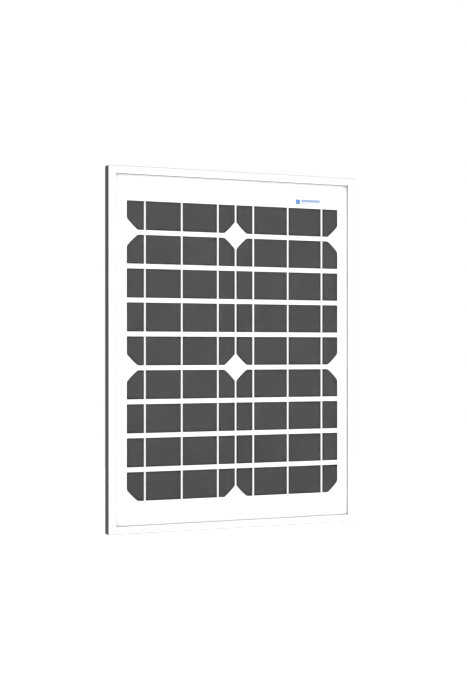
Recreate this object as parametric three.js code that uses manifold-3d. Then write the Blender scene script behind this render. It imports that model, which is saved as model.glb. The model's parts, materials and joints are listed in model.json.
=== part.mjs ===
// A small framed photovoltaic module: glass laminate, mitred aluminium frame, rear junction box.
// Millimetres. Seen from the front, +X is right and +Z is up, and the glass faces -Y.
// The origin is the centre of the rear mounting plane, which is the back of the rear flanges.

import * as THREE from 'three';
import { mergeVertices } from 'three/addons/utils/BufferGeometryUtils.js';
import Module from 'manifold-3d';

const wasm = await Module();
wasm.setup();

// ---------- driving dimensions ----------

// Frame, outside
const FRAME_W = 366;
const FRAME_H = 490;
const FRAME_T = 17;

// Rail section. Depths marked _W run inwards from the rail's outer face.
const WALL_T = 1.5;
const LIP_W = 10.5;
const LIP_T = 1.5;
const SHELF_T = 1.25;
const CHAMBER_W = 5;
const WEB_T = 1.25;
const FLANGE_W = 18;
const FLANGE_T = 1.5;
const EDGE_CHAMFER = 0.5;
const MITRE_SETBACK = 0.1;

// Holes in the rear flanges
const HOLE_INSET = 12.75;
const MOUNT_HOLE_R = 3.5;
const MOUNT_HOLE_SPACING = 250;
const EARTH_HOLE_R = 2.1;
const DRAIN_HOLE_R = 2;
const DRAIN_HOLE_SPACING = 240;

// Corner keys, pressed into the rail chambers
const KEY_CLEARANCE = 0.3;
const KEY_ARM = 34;

// Laminate, front to back
const LAMINATE_INSET = 2.5;
const FRONT_TAPE_T = 0.25;
const GLASS_T = 3.25;
const ENCAPSULANT_T = 0.5;
const RIBBON_T = 0.25;
const CELL_T = 0.25;
const BACKSHEET_T = 0.375;
const BACK_TAPE_T = 0.375;
const FRONT_TAPE_REACH = 10;
const BACK_TAPE_REACH = 7.25;

// Cells: quarter strips of a pseudo-square wafer cut from a round ingot
const WAFER = 156;
const INGOT_R = 100;
const STRIPS_PER_WAFER = 4;
const ROWS = 9;
const ROW_PITCH = 45.4;
const COLUMN_GAP = 2.3;
const ARRAY_X = 1;
const ARRAY_Z = -1.2;

// Ribbons
const RIBBON_W = 2.4;
const RIBBON_SPACING = 52.7;
const BUS_W = 5;
const BUS_OFFSET = 6;
const BUS_OVERHANG = 3;

// Junction box tray
const BOX_W = 76;
const BOX_BOTTOM = 166;
const BOX_TOP = 216;
const BOX_WALL = 2;
const BOX_FLOOR_T = 1;
const BOX_RIM_Y = -2.75;
const ADHESIVE_T = 0.625;
const PAD_INSET = 1;
const GASKET_T = 0.5;
const GASKET_INSET = 0.25;
const CATCH_T = 1;

// Leads from the laminate into the box, and the terminals they are soldered to
const LEAD_X = 15;
const LEAD_FOOT = 10;
const SLOT_W = 7;
const SLOT_H = 3;
const TERMINAL_W = 8;
const TERMINAL_T = 0.75;
const TERMINAL_BOTTOM = 173;
const TERMINAL_TOP = 204;
const CLAMP_Z = 178;
const CLAMP_HOLE_R = 1.6;
const SCREW_R = 1.25;
const SCREW_HEAD_R = 2.4;
const SCREW_HEAD_T = 1.6;
const WIRE_SPACE = 1.75;

// Bypass diode
const DIODE_R = 1.5;
const DIODE_L = 6;
const DIODE_LEAD = 0.75;
const DIODE_Z = 190;
const DIODE_Y = -6;

// Cable outlets
const OUTLET_W = 60;
const OUTLET_DEPTH = 8;
const OUTLET_TOP_Y = -1;
const GLAND_Y = -5.25;
const CABLE_BORE_R = 2.1;
const THREAD_HOLE_R = 3;
const THREAD_HOLE_DEPTH = 7;

// Lid and its hinge
const LID_T = 1.25;
const LID_GAP = 0.3;
const LID_TONGUE_T = 1.2;
const LID_TONGUE_DEPTH = 1.35;
const LID_TONGUE_CLEARANCE = 0.4;
const HINGE_Y = -2.6;
const HINGE_Z = 219;
const HINGE_PIN_R = 1;
const HINGE_BORE_R = 1.1;
const KNUCKLE_R = 2;
const KNUCKLE = [23.4, 26.6];
const EAR = [27, 30];

// Blank rating label
const LABEL_W = 90;
const LABEL_H = 60;
const LABEL_T = 0.25;
const LABEL_Z = 60;

// ---------- planes worked out from them ----------

const halfW = FRAME_W / 2;
const halfH = FRAME_H / 2;
const glassFront = -FRAME_T + LIP_T + FRONT_TAPE_T;
const glassBack = glassFront + GLASS_T;
const ribbonFront = glassBack + ENCAPSULANT_T;
const cellFront = ribbonFront + RIBBON_T;
const cellBack = cellFront + CELL_T;
const backsheetFront = cellBack + ENCAPSULANT_T;
const backsheetBack = backsheetFront + BACKSHEET_T;
const shelfFront = backsheetBack + BACK_TAPE_T;
const laminateX = halfW - LAMINATE_INSET;
const laminateZ = halfH - LAMINATE_INSET;

const stripH = WAFER / STRIPS_PER_WAFER;
const columnX = (WAFER + COLUMN_GAP) / 2;
const rowSpan = (ROWS - 1) * ROW_PITCH;
const busTopZ = ARRAY_Z + (rowSpan + stripH) / 2 + BUS_OFFSET;
const busBottomZ = ARRAY_Z - (rowSpan + stripH) / 2 - BUS_OFFSET;

const boxBackY = backsheetBack + ADHESIVE_T;
const boxFloorY = boxBackY + BOX_FLOOR_T;
const terminalTopY = boxFloorY + TERMINAL_T;
const gasketTopY = BOX_RIM_Y + GASKET_T;
const lidTopY = gasketTopY + LID_T;
const outletFace = BOX_BOTTOM - OUTLET_DEPTH;

// ---------- materials ----------

const finish = (color, roughness, metalness = 0) =>
  new THREE.MeshStandardMaterial({ color, roughness, metalness });

const anodised = finish(0xd9dadc, 0.35, 1);
const keyAlloy = finish(0xb9bbbf, 0.5, 1);
const glassClear = new THREE.MeshStandardMaterial({
  color: 0xf4f8f8,
  roughness: 0.15,
  transparent: true,
  opacity: 0.15,
});
const encapsulantClear = new THREE.MeshStandardMaterial({
  color: 0xffffff,
  roughness: 0.4,
  transparent: true,
  opacity: 0.1,
});
const backsheetWhite = finish(0xf6f6f4, 0.6);
const silicon = finish(0x4c4d4d, 0.45);
const tinned = finish(0xeeeeec, 0.3, 0.8);
const tapeWhite = finish(0xeceae4, 0.8);
const boxBlack = finish(0x1c1c1e, 0.55);
const sealRubber = finish(0x101011, 0.9);
const adhesiveGrey = finish(0xdcdcd8, 0.7);
const steel = finish(0xc4c6c8, 0.3, 1);
const diodeBlack = finish(0x161617, 0.35);
const labelStock = finish(0xe9eaec, 0.5);

// ---------- geometry helpers ----------

function solidOf(geometry) {
  const bare = geometry.clone();
  bare.deleteAttribute('normal');
  bare.deleteAttribute('uv');
  const merged = mergeVertices(bare, 1e-4);
  const mesh = new wasm.Mesh({
    numProp: 3,
    vertProperties: new Float32Array(merged.attributes.position.array),
    triVerts: new Uint32Array(merged.index.array),
  });
  return new wasm.Manifold(mesh);
}

function geometryOf(solid) {
  const { vertProperties, triVerts } = solid.getMesh();
  const geometry = new THREE.BufferGeometry();
  geometry.setAttribute('position', new THREE.BufferAttribute(vertProperties, 3));
  geometry.setIndex(new THREE.BufferAttribute(triVerts, 1));
  const flat = geometry.toNonIndexed();
  flat.computeVertexNormals();
  return flat;
}

// Joins the first list of geometries and cuts the second list from the result.
function carve(joined, cut = []) {
  let body = solidOf(joined[0]);
  for (const piece of joined.slice(1)) {
    body = body.add(solidOf(piece));
  }
  for (const piece of cut) {
    body = body.subtract(solidOf(piece));
  }
  return geometryOf(body);
}

function block([x0, x1], [y0, y1], [z0, z1]) {
  const box = new THREE.BoxGeometry(x1 - x0, y1 - y0, z1 - z0);
  return box.translate((x0 + x1) / 2, (y0 + y1) / 2, (z0 + z1) / 2);
}

const centred = (half, middle = 0) => [middle - half, middle + half];

// A round bar between two points of one axis, 'x', 'y' or 'z'; `at` gives its other two coordinates.
function bar(axis, radius, [from, to], at, sides = 32) {
  const round = new THREE.CylinderGeometry(radius, radius, to - from, sides);
  const middle = (from + to) / 2;
  if (axis === 'x') {
    return round.rotateZ(-Math.PI / 2).translate(middle, at[0], at[1]);
  }
  if (axis === 'y') {
    return round.translate(at[0], middle, at[1]);
  }
  return round.rotateX(Math.PI / 2).translate(at[0], at[1], middle);
}

// A flat shape drawn in X and Z, made solid between two planes of Y.
function plate(shape, [y0, y1]) {
  const sheet = new THREE.ExtrudeGeometry(shape, { depth: y1 - y0, bevelEnabled: false, curveSegments: 6 });
  return sheet.rotateX(Math.PI / 2).translate(0, y1, 0);
}

function outline(points) {
  return new THREE.Shape(points.map(([a, b]) => new THREE.Vector2(a, b)));
}

const part = new THREE.Group();

function add(name, geometry, material, parent = part) {
  const mesh = new THREE.Mesh(geometry, material);
  mesh.name = name;
  parent.add(mesh);
  return mesh;
}

// ---------- frame rails ----------

// The section is drawn with X inwards from the outer face and Y towards the back.
function railSection() {
  const webBack = WALL_T + CHAMBER_W + WEB_T;
  const section = outline([
    [EDGE_CHAMFER, -FRAME_T],
    [LIP_W - EDGE_CHAMFER / 2, -FRAME_T],
    [LIP_W, -FRAME_T + EDGE_CHAMFER / 2],
    [LIP_W, -FRAME_T + LIP_T],
    [WALL_T, -FRAME_T + LIP_T],
    [WALL_T, shelfFront],
    [webBack, shelfFront],
    [webBack, -FLANGE_T],
    [FLANGE_W, -FLANGE_T],
    [FLANGE_W, 0],
    [EDGE_CHAMFER, 0],
    [0, -EDGE_CHAMFER],
    [0, -FRAME_T + EDGE_CHAMFER],
  ]);
  const chamberFront = shelfFront + SHELF_T;
  section.holes.push(
    outline([
      [WALL_T, chamberFront],
      [WALL_T + CHAMBER_W, chamberFront],
      [WALL_T + CHAMBER_W, -FLANGE_T],
      [WALL_T, -FLANGE_T],
    ]),
  );
  return section;
}

// A rail along Z with both ends mitred at 45 degrees; `holes` lists [radius, place along the rail].
function railGeometry(length, holes) {
  const rail = new THREE.ExtrudeGeometry(railSection(), { depth: 1, bevelEnabled: false });
  const position = rail.attributes.position;
  for (let i = 0; i < position.count; i += 1) {
    const end = position.getZ(i) > 0.5 ? 1 : -1;
    position.setZ(i, end * (length / 2 - position.getX(i) - MITRE_SETBACK));
  }
  const drills = holes.map(([radius, along]) =>
    bar('y', radius, [-2 * FLANGE_T, FLANGE_T], [HOLE_INSET, along], 24),
  );
  return carve([rail], drills);
}

const sideHoles = [
  [MOUNT_HOLE_R, MOUNT_HOLE_SPACING / 2],
  [MOUNT_HOLE_R, -MOUNT_HOLE_SPACING / 2],
  [EARTH_HOLE_R, 0],
];
const endHoles = [
  [DRAIN_HOLE_R, DRAIN_HOLE_SPACING / 2],
  [DRAIN_HOLE_R, -DRAIN_HOLE_SPACING / 2],
];
const sideRail = railGeometry(FRAME_H, sideHoles);
const endRail = railGeometry(FRAME_W, endHoles);

const railLeft = add('frame_rail_left', sideRail, anodised);
railLeft.position.x = -halfW;

const railRight = add('frame_rail_right', sideRail, anodised);
railRight.position.x = halfW;
railRight.rotation.y = Math.PI;

const railBottom = add('frame_rail_bottom', endRail, anodised);
railBottom.position.z = -halfH;
railBottom.rotation.y = -Math.PI / 2;

const railTop = add('frame_rail_top', endRail, anodised);
railTop.position.z = halfH;
railTop.rotation.y = Math.PI / 2;

// ---------- corner keys ----------

function cornerKey() {
  const near = WALL_T + KEY_CLEARANCE;
  const far = WALL_T + CHAMBER_W - KEY_CLEARANCE;
  const ell = outline([
    [near, near],
    [KEY_ARM, near],
    [KEY_ARM, far],
    [far, far],
    [far, KEY_ARM],
    [near, KEY_ARM],
  ]);
  return plate(ell, [shelfFront + SHELF_T + KEY_CLEARANCE, -FLANGE_T - KEY_CLEARANCE]);
}

const keyGeometry = cornerKey();
const corners = [
  ['corner_key_bottom_left', -1, -1, 0],
  ['corner_key_top_left', -1, 1, Math.PI / 2],
  ['corner_key_top_right', 1, 1, Math.PI],
  ['corner_key_bottom_right', 1, -1, -Math.PI / 2],
];
for (const [name, sideX, sideZ, turn] of corners) {
  const key = add(name, keyGeometry, keyAlloy);
  key.position.set(sideX * halfW, 0, sideZ * halfH);
  key.rotation.y = turn;
}

// ---------- edge tape, one ring of channel section around the laminate ----------

function edgeTape() {
  const ring = (inset) => [centred(halfW - inset), centred(halfH - inset)];
  const [outX, outZ] = ring(WALL_T);
  const [frontX, frontZ] = ring(FRONT_TAPE_REACH);
  const [backX, backZ] = ring(BACK_TAPE_REACH);
  return carve(
    [block(outX, [glassFront - FRONT_TAPE_T, shelfFront], outZ)],
    [
      block(centred(laminateX), [glassFront, backsheetBack], centred(laminateZ)),
      block(frontX, [-FRAME_T, glassFront + 1], frontZ),
      block(backX, [backsheetBack - 1, 0], backZ),
    ],
  );
}
add('edge_tape', edgeTape(), tapeWhite);

// ---------- laminate sheets ----------

// A full sheet of the laminate; a slotted one lets the two leads through to the junction box.
function laminateSheet(planes, slotted) {
  const sheet = block(centred(laminateX), planes, centred(laminateZ));
  if (!slotted) {
    return sheet;
  }
  return carve([sheet], leadSlots(planes));
}

function leadSlots([y0, y1]) {
  return [-1, 1].map((side) =>
    block(centred(SLOT_W / 2, side * LEAD_X), [y0 - 1, y1 + 1], centred(SLOT_H / 2, busTopZ)),
  );
}

add('front_glass', laminateSheet([glassFront, glassBack], false), glassClear);
add('encapsulant_front', laminateSheet([glassBack, ribbonFront], false), encapsulantClear);
add('encapsulant_back', laminateSheet([cellBack, backsheetFront], true), encapsulantClear);
add('backsheet', laminateSheet([backsheetFront, backsheetBack], true), backsheetWhite);

// ---------- cells ----------

// A wafer is a square whose corners are cut by the ingot's round edge. Its first quarter strip has
// two cut corners at the top, its last has them at the bottom, and the middle two have none.
function cellStrip(cutCorners) {
  const half = WAFER / 2;
  const low = half - stripH;
  const middle = (half + low) / 2;
  const strip = new THREE.Shape();
  strip.moveTo(-half, low - middle);
  strip.lineTo(half, low - middle);
  if (cutCorners) {
    const angle = Math.acos(half / INGOT_R);
    strip.absarc(0, -middle, INGOT_R, angle, Math.PI / 2 - angle, false);
    strip.absarc(0, -middle, INGOT_R, Math.PI / 2 + angle, Math.PI - angle, false);
  } else {
    strip.lineTo(half, half - middle);
    strip.lineTo(-half, half - middle);
  }
  strip.closePath();
  return plate(strip, [cellFront, cellBack]);
}

const plainStrip = cellStrip(false);
const cutStrip = cellStrip(true);
const lastQuarter = STRIPS_PER_WAFER - 1;
for (let column = 0; column < 2; column += 1) {
  for (let row = 0; row < ROWS; row += 1) {
    const quarter = (row + lastQuarter) % STRIPS_PER_WAFER;
    const atEnd = quarter === 0 || quarter === lastQuarter;
    const cell = add(`cell_c${column + 1}_r${row + 1}`, atEnd ? cutStrip : plainStrip, silicon);
    cell.position.x = ARRAY_X + (2 * column - 1) * columnX;
    cell.position.z = ARRAY_Z + rowSpan / 2 - row * ROW_PITCH;
    cell.rotation.y = quarter === lastQuarter ? Math.PI : 0;
  }
}

// ---------- ribbons ----------

for (let column = 0; column < 2; column += 1) {
  for (let line = 0; line < 3; line += 1) {
    const x = ARRAY_X + (2 * column - 1) * columnX + (line - 1) * RIBBON_SPACING;
    const reach = [busBottomZ - BUS_W / 2, busTopZ + BUS_W / 2];
    const ribbon = block(centred(RIBBON_W / 2), [ribbonFront, cellFront], reach);
    add(`string_ribbon_c${column + 1}_${line + 1}`, ribbon, tinned).position.x = x;
  }
}

const busReach = columnX + RIBBON_SPACING + BUS_OVERHANG;
const busPlanes = [cellFront, cellBack];
const busLink = block(centred(busReach, ARRAY_X), busPlanes, centred(BUS_W / 2, busBottomZ));
add('bus_link_bottom', busLink, tinned);

// Each upper bus turns back through the laminate's slot and lies down on its terminal.
function busWithLead(side) {
  const inner = side * (LEAD_X - BUS_W / 2);
  const outer = ARRAY_X + side * busReach;
  const half = RIBBON_T / 2;
  const leadX = centred(BUS_W / 2, side * LEAD_X);
  return carve([
    block([Math.min(inner, outer), Math.max(inner, outer)], busPlanes, centred(BUS_W / 2, busTopZ)),
    block(leadX, [cellFront, terminalTopY + RIBBON_T], centred(half, busTopZ)),
    block(leadX, [terminalTopY, terminalTopY + RIBBON_T], [busTopZ - LEAD_FOOT, busTopZ + half]),
  ]);
}
add('bus_lead_negative', busWithLead(-1), tinned);
add('bus_lead_positive', busWithLead(1), tinned);

// ---------- junction box ----------

const boxX = centred(BOX_W / 2);
const cavityX = centred(BOX_W / 2 - BOX_WALL);
const cavityZ = [BOX_BOTTOM + BOX_WALL, BOX_TOP - BOX_WALL];

function adhesivePad() {
  const planes = [backsheetBack, boxBackY];
  const padX = centred(BOX_W / 2 - PAD_INSET);
  return carve([block(padX, planes, [BOX_BOTTOM, BOX_TOP - PAD_INSET])], leadSlots(planes));
}
add('box_adhesive_pad', adhesivePad(), adhesiveGrey);

// An eye around the hinge axis that stands on a foot reaching back to the given plane of Z.
function hingeEye([x0, x1], footZ, footY) {
  return [
    bar('x', KNUCKLE_R, [x0, x1], [HINGE_Y, HINGE_Z]),
    block([x0, x1], footY, [footZ, HINGE_Z]),
  ];
}

const span = ([near, far], side) => (side > 0 ? [near, far] : [-far, -near]);

function boxBase() {
  const joined = [
    block(boxX, [boxBackY, BOX_RIM_Y], [BOX_BOTTOM, BOX_TOP]),
    block(centred(OUTLET_W / 2), [boxBackY, OUTLET_TOP_Y], [outletFace, BOX_BOTTOM]),
  ];
  const cut = [
    block(cavityX, [boxFloorY, 0], cavityZ),
    ...leadSlots([boxBackY, boxFloorY]),
    bar('x', HINGE_BORE_R, centred(BOX_W), [HINGE_Y, HINGE_Z]),
  ];
  for (const side of [-1, 1]) {
    const x = side * LEAD_X;
    const earX = span(EAR, side);
    const catchX = span([BOX_W / 2, BOX_W / 2 + CATCH_T], side);
    joined.push(...hingeEye(earX, BOX_TOP, [HINGE_Y - KNUCKLE_R, BOX_RIM_Y]));
    joined.push(block(earX, [boxBackY, BOX_RIM_Y], [BOX_TOP - 1, HINGE_Z + KNUCKLE_R]));
    joined.push(block(catchX, [boxBackY, boxBackY + 2], [BOX_BOTTOM + 4, BOX_BOTTOM + 12]));
    cut.push(bar('z', CABLE_BORE_R, [outletFace - 1, BOX_BOTTOM + BOX_WALL + 1], [x, GLAND_Y]));
    cut.push(bar('z', THREAD_HOLE_R, [outletFace - 1, outletFace + THREAD_HOLE_DEPTH], [x, GLAND_Y]));
  }
  return carve(joined, cut);
}
add('box_base', boxBase(), boxBlack);

function boxGasket() {
  const planes = [BOX_RIM_Y, gasketTopY];
  const outer = BOX_WALL - GASKET_INSET;
  return carve(
    [
      block(
        centred(BOX_W / 2 - GASKET_INSET),
        planes,
        [BOX_BOTTOM + GASKET_INSET, BOX_TOP - GASKET_INSET],
      ),
    ],
    [block(centred(BOX_W / 2 - outer), [-FRAME_T, 0], [BOX_BOTTOM + outer, BOX_TOP - outer])],
  );
}
add('box_lid_gasket', boxGasket(), sealRubber);

// The lid is a plate with a tongue that sits inside the tray, two hinge knuckles and two side tabs.
function boxLid() {
  const lidZ = [BOX_BOTTOM + LID_GAP, BOX_TOP - LID_GAP];
  const tongueOut = BOX_WALL + LID_TONGUE_CLEARANCE;
  const tongueIn = tongueOut + LID_TONGUE_T;
  const tongueY = [gasketTopY - LID_TONGUE_DEPTH, gasketTopY];
  const frameOf = (inset) => [centred(BOX_W / 2 - inset), [BOX_BOTTOM + inset, BOX_TOP - inset]];
  const [outX, outZ] = frameOf(tongueOut);
  const [inX, inZ] = frameOf(tongueIn);
  const tongue = carve([block(outX, tongueY, outZ)], [block(inX, [tongueY[0] - 1, gasketTopY + 1], inZ)]);
  const joined = [block(boxX, [gasketTopY, lidTopY], lidZ), tongue];
  for (const side of [-1, 1]) {
    const tabX = span([BOX_W / 2 - LID_GAP, BOX_W / 2 + CATCH_T], side);
    const tabLegX = span([BOX_W / 2 + LID_GAP, BOX_W / 2 + CATCH_T], side);
    const tabZ = [BOX_BOTTOM + 4, BOX_BOTTOM + 12];
    joined.push(...hingeEye(span(KNUCKLE, side), BOX_TOP - 2, [gasketTopY, lidTopY]));
    joined.push(block(tabX, [gasketTopY, lidTopY], tabZ));
    joined.push(block(tabLegX, [boxBackY + 2 + LID_GAP, lidTopY], tabZ));
  }
  return carve(joined, [bar('x', HINGE_BORE_R, centred(BOX_W), [HINGE_Y, HINGE_Z])]);
}
add('box_lid', boxLid(), boxBlack);

for (const [name, side] of [['hinge_pin_left', -1], ['hinge_pin_right', 1]]) {
  const reach = span([KNUCKLE[0], EAR[1]], side);
  add(name, bar('x', HINGE_PIN_R, reach, [HINGE_Y, HINGE_Z]), steel);
}

// ---------- terminals, screws and diode ----------

const sides = [
  ['negative', -1],
  ['positive', 1],
];

function terminalPlate() {
  const strip = block(
    centred(TERMINAL_W / 2),
    [boxFloorY, terminalTopY],
    [TERMINAL_BOTTOM, TERMINAL_TOP],
  );
  return carve([strip], [bar('y', CLAMP_HOLE_R, [boxFloorY - 1, terminalTopY + 1], [0, CLAMP_Z])]);
}

// A slotted pan-head screw along Y, drawn at its own axis.
function clampScrew() {
  const headY = terminalTopY + WIRE_SPACE;
  const topY = headY + SCREW_HEAD_T;
  return carve(
    [
      bar('y', SCREW_R, [boxFloorY + KEY_CLEARANCE, headY], [0, 0], 24),
      bar('y', SCREW_HEAD_R, [headY, topY], [0, 0], 24),
    ],
    [block(centred(SCREW_HEAD_R + 1), [topY - 0.7, topY + 1], centred(0.35))],
  );
}

const plateGeometry = terminalPlate();
const screwGeometry = clampScrew();
for (const [pole, side] of sides) {
  add(`terminal_${pole}`, plateGeometry, tinned).position.x = side * LEAD_X;
  add(`terminal_screw_${pole}`, screwGeometry, steel).position.set(side * LEAD_X, 0, CLAMP_Z);
}

function bypassDiode() {
  const leadX = LEAD_X - 2;
  const half = DIODE_LEAD / 2;
  const joined = [
    bar('x', DIODE_R, centred(DIODE_L / 2), [DIODE_Y, DIODE_Z], 24),
    block(centred(leadX), centred(half, DIODE_Y), centred(half, DIODE_Z)),
  ];
  for (const side of [-1, 1]) {
    const footX = centred(half, side * (leadX - half));
    joined.push(block(footX, [terminalTopY, DIODE_Y + half], centred(half, DIODE_Z)));
  }
  return carve(joined);
}
add('bypass_diode', bypassDiode(), diodeBlack);

// ---------- cable glands, drawn downwards from the outlet face ----------

const GLAND = {
  shankR: 2.7,
  shankTop: 6.7,
  flangeR: 4.2,
  flange: [-2.8, -0.3],
  sleeveR: 3.1,
  sleeveEnd: -9.9,
};
const SEAL = { outerR: 3.2, span: [-11.7, -10.2] };
const NUT = { crestR: 4.3, grooveR: 4.05, boreR: 3.4, mouthR: 2.3, top: -4, wall: -12, end: -13.5 };
const NUT_FLUTES = 14;

function glandBody() {
  return carve(
    [
      bar('z', GLAND.sleeveR, [GLAND.sleeveEnd, GLAND.flange[0]], [0, 0], 24),
      bar('z', GLAND.flangeR, GLAND.flange, [0, 0], 6),
      bar('z', GLAND.shankR, [GLAND.flange[1], GLAND.shankTop], [0, 0], 24),
    ],
    [bar('z', CABLE_BORE_R, [GLAND.sleeveEnd - 1, GLAND.shankTop + 1], [0, 0], 24)],
  );
}

function glandSeal() {
  const [low, high] = SEAL.span;
  return carve(
    [bar('z', SEAL.outerR, SEAL.span, [0, 0], 24)],
    [bar('z', CABLE_BORE_R, [low - 1, high + 1], [0, 0], 24)],
  );
}

function glandNut() {
  const rim = [];
  for (let i = 0; i < 2 * NUT_FLUTES; i += 1) {
    const angle = (i * Math.PI) / NUT_FLUTES;
    const radius = i % 2 === 0 ? NUT.crestR : NUT.grooveR;
    rim.push([radius * Math.cos(angle), radius * Math.sin(angle)]);
  }
  const fluted = new THREE.ExtrudeGeometry(outline(rim), {
    depth: NUT.top - NUT.end,
    bevelEnabled: false,
  }).translate(0, 0, NUT.end);
  return carve(
    [fluted],
    [
      bar('z', NUT.boreR, [NUT.wall, NUT.top + 1], [0, 0], 24),
      bar('z', NUT.mouthR, [NUT.end - 1, NUT.wall + 1], [0, 0], 24),
    ],
  );
}

const glandParts = [
  ['gland_body', glandBody(), boxBlack],
  ['gland_seal', glandSeal(), sealRubber],
  ['gland_nut', glandNut(), boxBlack],
];
for (const [pole, side] of sides) {
  const gland = new THREE.Group();
  gland.position.set(side * LEAD_X, GLAND_Y, outletFace);
  part.add(gland);
  for (const [name, geometry, material] of glandParts) {
    add(`${name}_${pole}`, geometry, material, gland);
  }
}

// ---------- rating label ----------

const labelPlanes = [backsheetBack, backsheetBack + LABEL_T];
const labelSheet = block(centred(LABEL_W / 2), labelPlanes, centred(LABEL_H / 2, LABEL_Z));
add('rating_label', labelSheet, labelStock);

export default part;
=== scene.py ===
"""Looks for a small framed solar panel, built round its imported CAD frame. Lengths are in metres."""

import json
import math
import random

import bmesh
import bpy
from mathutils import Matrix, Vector

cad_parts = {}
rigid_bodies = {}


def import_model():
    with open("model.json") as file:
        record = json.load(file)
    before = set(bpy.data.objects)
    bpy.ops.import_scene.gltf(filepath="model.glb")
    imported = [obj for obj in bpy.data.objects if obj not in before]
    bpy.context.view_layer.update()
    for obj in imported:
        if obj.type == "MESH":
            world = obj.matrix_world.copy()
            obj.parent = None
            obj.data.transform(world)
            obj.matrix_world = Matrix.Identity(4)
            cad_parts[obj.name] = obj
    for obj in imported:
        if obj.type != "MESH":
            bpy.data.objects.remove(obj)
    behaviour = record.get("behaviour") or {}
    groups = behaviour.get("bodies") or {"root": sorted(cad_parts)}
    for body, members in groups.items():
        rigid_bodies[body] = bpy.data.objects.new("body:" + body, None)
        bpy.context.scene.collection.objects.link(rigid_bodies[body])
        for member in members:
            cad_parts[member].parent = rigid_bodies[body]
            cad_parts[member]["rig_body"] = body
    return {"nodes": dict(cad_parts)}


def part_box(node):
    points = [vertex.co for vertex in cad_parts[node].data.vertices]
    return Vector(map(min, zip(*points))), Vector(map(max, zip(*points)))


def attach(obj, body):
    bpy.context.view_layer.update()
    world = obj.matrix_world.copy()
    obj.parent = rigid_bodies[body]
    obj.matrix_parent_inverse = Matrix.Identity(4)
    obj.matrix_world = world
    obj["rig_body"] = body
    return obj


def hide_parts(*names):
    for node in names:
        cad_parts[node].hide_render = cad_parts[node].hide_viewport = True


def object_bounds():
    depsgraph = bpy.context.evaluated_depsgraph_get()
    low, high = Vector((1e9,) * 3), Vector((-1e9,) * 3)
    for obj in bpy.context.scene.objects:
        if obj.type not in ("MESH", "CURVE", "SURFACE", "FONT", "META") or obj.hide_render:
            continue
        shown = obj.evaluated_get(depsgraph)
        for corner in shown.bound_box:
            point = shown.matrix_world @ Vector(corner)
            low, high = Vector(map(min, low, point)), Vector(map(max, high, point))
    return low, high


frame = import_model()
cad_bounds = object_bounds()

NODES = frame["nodes"]
PANEL = "panel"
LID = "junction_box_lid"
POLES = (("negative", -1), ("positive", 1))
MM = 0.001


# ---------- materials ----------

GLASS_SHINE = 0.0085
EXTRUSION_STRETCH = 0.01


def material(name, specular=0.5):
    """A new material with one Principled shader. Returns the material, its tree and the shader."""
    mat = bpy.data.materials.new(name)
    mat.use_nodes = True
    tree = mat.node_tree
    shader = tree.nodes["Principled BSDF"]
    shader.inputs["Specular IOR Level"].default_value = specular
    return mat, tree, shader


def feed(tree, item, socket):
    """Sets a node's input to a number, or links it to another node's output."""
    if isinstance(item, (int, float)):
        socket.default_value = item
    else:
        tree.links.new(item, socket)


def maths(tree, operation, *items):
    """The result of a sum on numbers or on other nodes' outputs."""
    node = tree.nodes.new("ShaderNodeMath")
    node.operation = operation
    for socket, item in zip(node.inputs, items):
        feed(tree, item, socket)
    return node.outputs[0]


def noise(tree, scale, detail=2.0, stretch=(1, 1, 1)):
    """Noise in the object's own coordinates, which are the part's metres. scale is in waves per metre."""
    coords = tree.nodes.new("ShaderNodeTexCoord")
    mapping = tree.nodes.new("ShaderNodeMapping")
    mapping.inputs["Scale"].default_value = stretch
    tree.links.new(coords.outputs["Object"], mapping.inputs["Vector"])
    texture = tree.nodes.new("ShaderNodeTexNoise")
    texture.inputs["Scale"].default_value = scale
    texture.inputs["Detail"].default_value = detail
    tree.links.new(mapping.outputs["Vector"], texture.inputs["Vector"])
    return texture.outputs["Fac"]


def spread(tree, value, low, high):
    """Maps a value's middle range, 0.3 to 0.7, onto low to high."""
    node = tree.nodes.new("ShaderNodeMapRange")
    node.inputs["From Min"].default_value = 0.3
    node.inputs["From Max"].default_value = 0.7
    node.inputs["To Min"].default_value = low
    node.inputs["To Max"].default_value = high
    tree.links.new(value, node.inputs["Value"])
    return node.outputs["Result"]


def tint(tree, value, dark, light):
    """A colour between two greys or colours, following a value's middle range."""
    mix = tree.nodes.new("ShaderNodeMix")
    mix.data_type = "RGBA"
    tree.links.new(spread(tree, value, 0.0, 1.0), mix.inputs["Factor"])
    mix.inputs["A"].default_value = (*dark, 1)
    mix.inputs["B"].default_value = (*light, 1)
    return mix.outputs["Result"]


def relief(tree, shader, value, depth):
    """Bumps the surface by a value, over a depth in metres."""
    bump = tree.nodes.new("ShaderNodeBump")
    bump.inputs["Strength"].default_value = 1.0
    bump.inputs["Distance"].default_value = depth
    tree.links.new(value, bump.inputs["Height"])
    tree.links.new(bump.outputs["Normal"], shader.inputs["Normal"])


def grained(
    name, dark, light, rough, grain, depth, metallic=0.0, patch=18, stretch=(1, 1, 1), specular=0.5
):
    """A surface with slow colour patches and a fine grain that varies its gloss and its relief.

    dark and light are the ends of its colour, rough is the range of its roughness, grain and patch
    are in waves per metre, and depth is in metres.
    """
    mat, tree, shader = material(name, specular)
    tree.links.new(tint(tree, noise(tree, patch), dark, light), shader.inputs["Base Color"])
    fine = noise(tree, grain, 3.0, stretch)
    tree.links.new(spread(tree, fine, *rough), shader.inputs["Roughness"])
    shader.inputs["Metallic"].default_value = metallic
    relief(tree, shader, fine, depth)
    return mat


def embedded(name, dark, light, rough, patch=30, metallic=0.0, specular=0.05):
    """A surface inside the laminate, with slow colour patches and an even gloss under the glass."""
    mat, tree, shader = material(name, specular)
    tree.links.new(tint(tree, noise(tree, patch), dark, light), shader.inputs["Base Color"])
    shader.inputs["Roughness"].default_value = rough
    shader.inputs["Metallic"].default_value = metallic
    return mat


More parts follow.
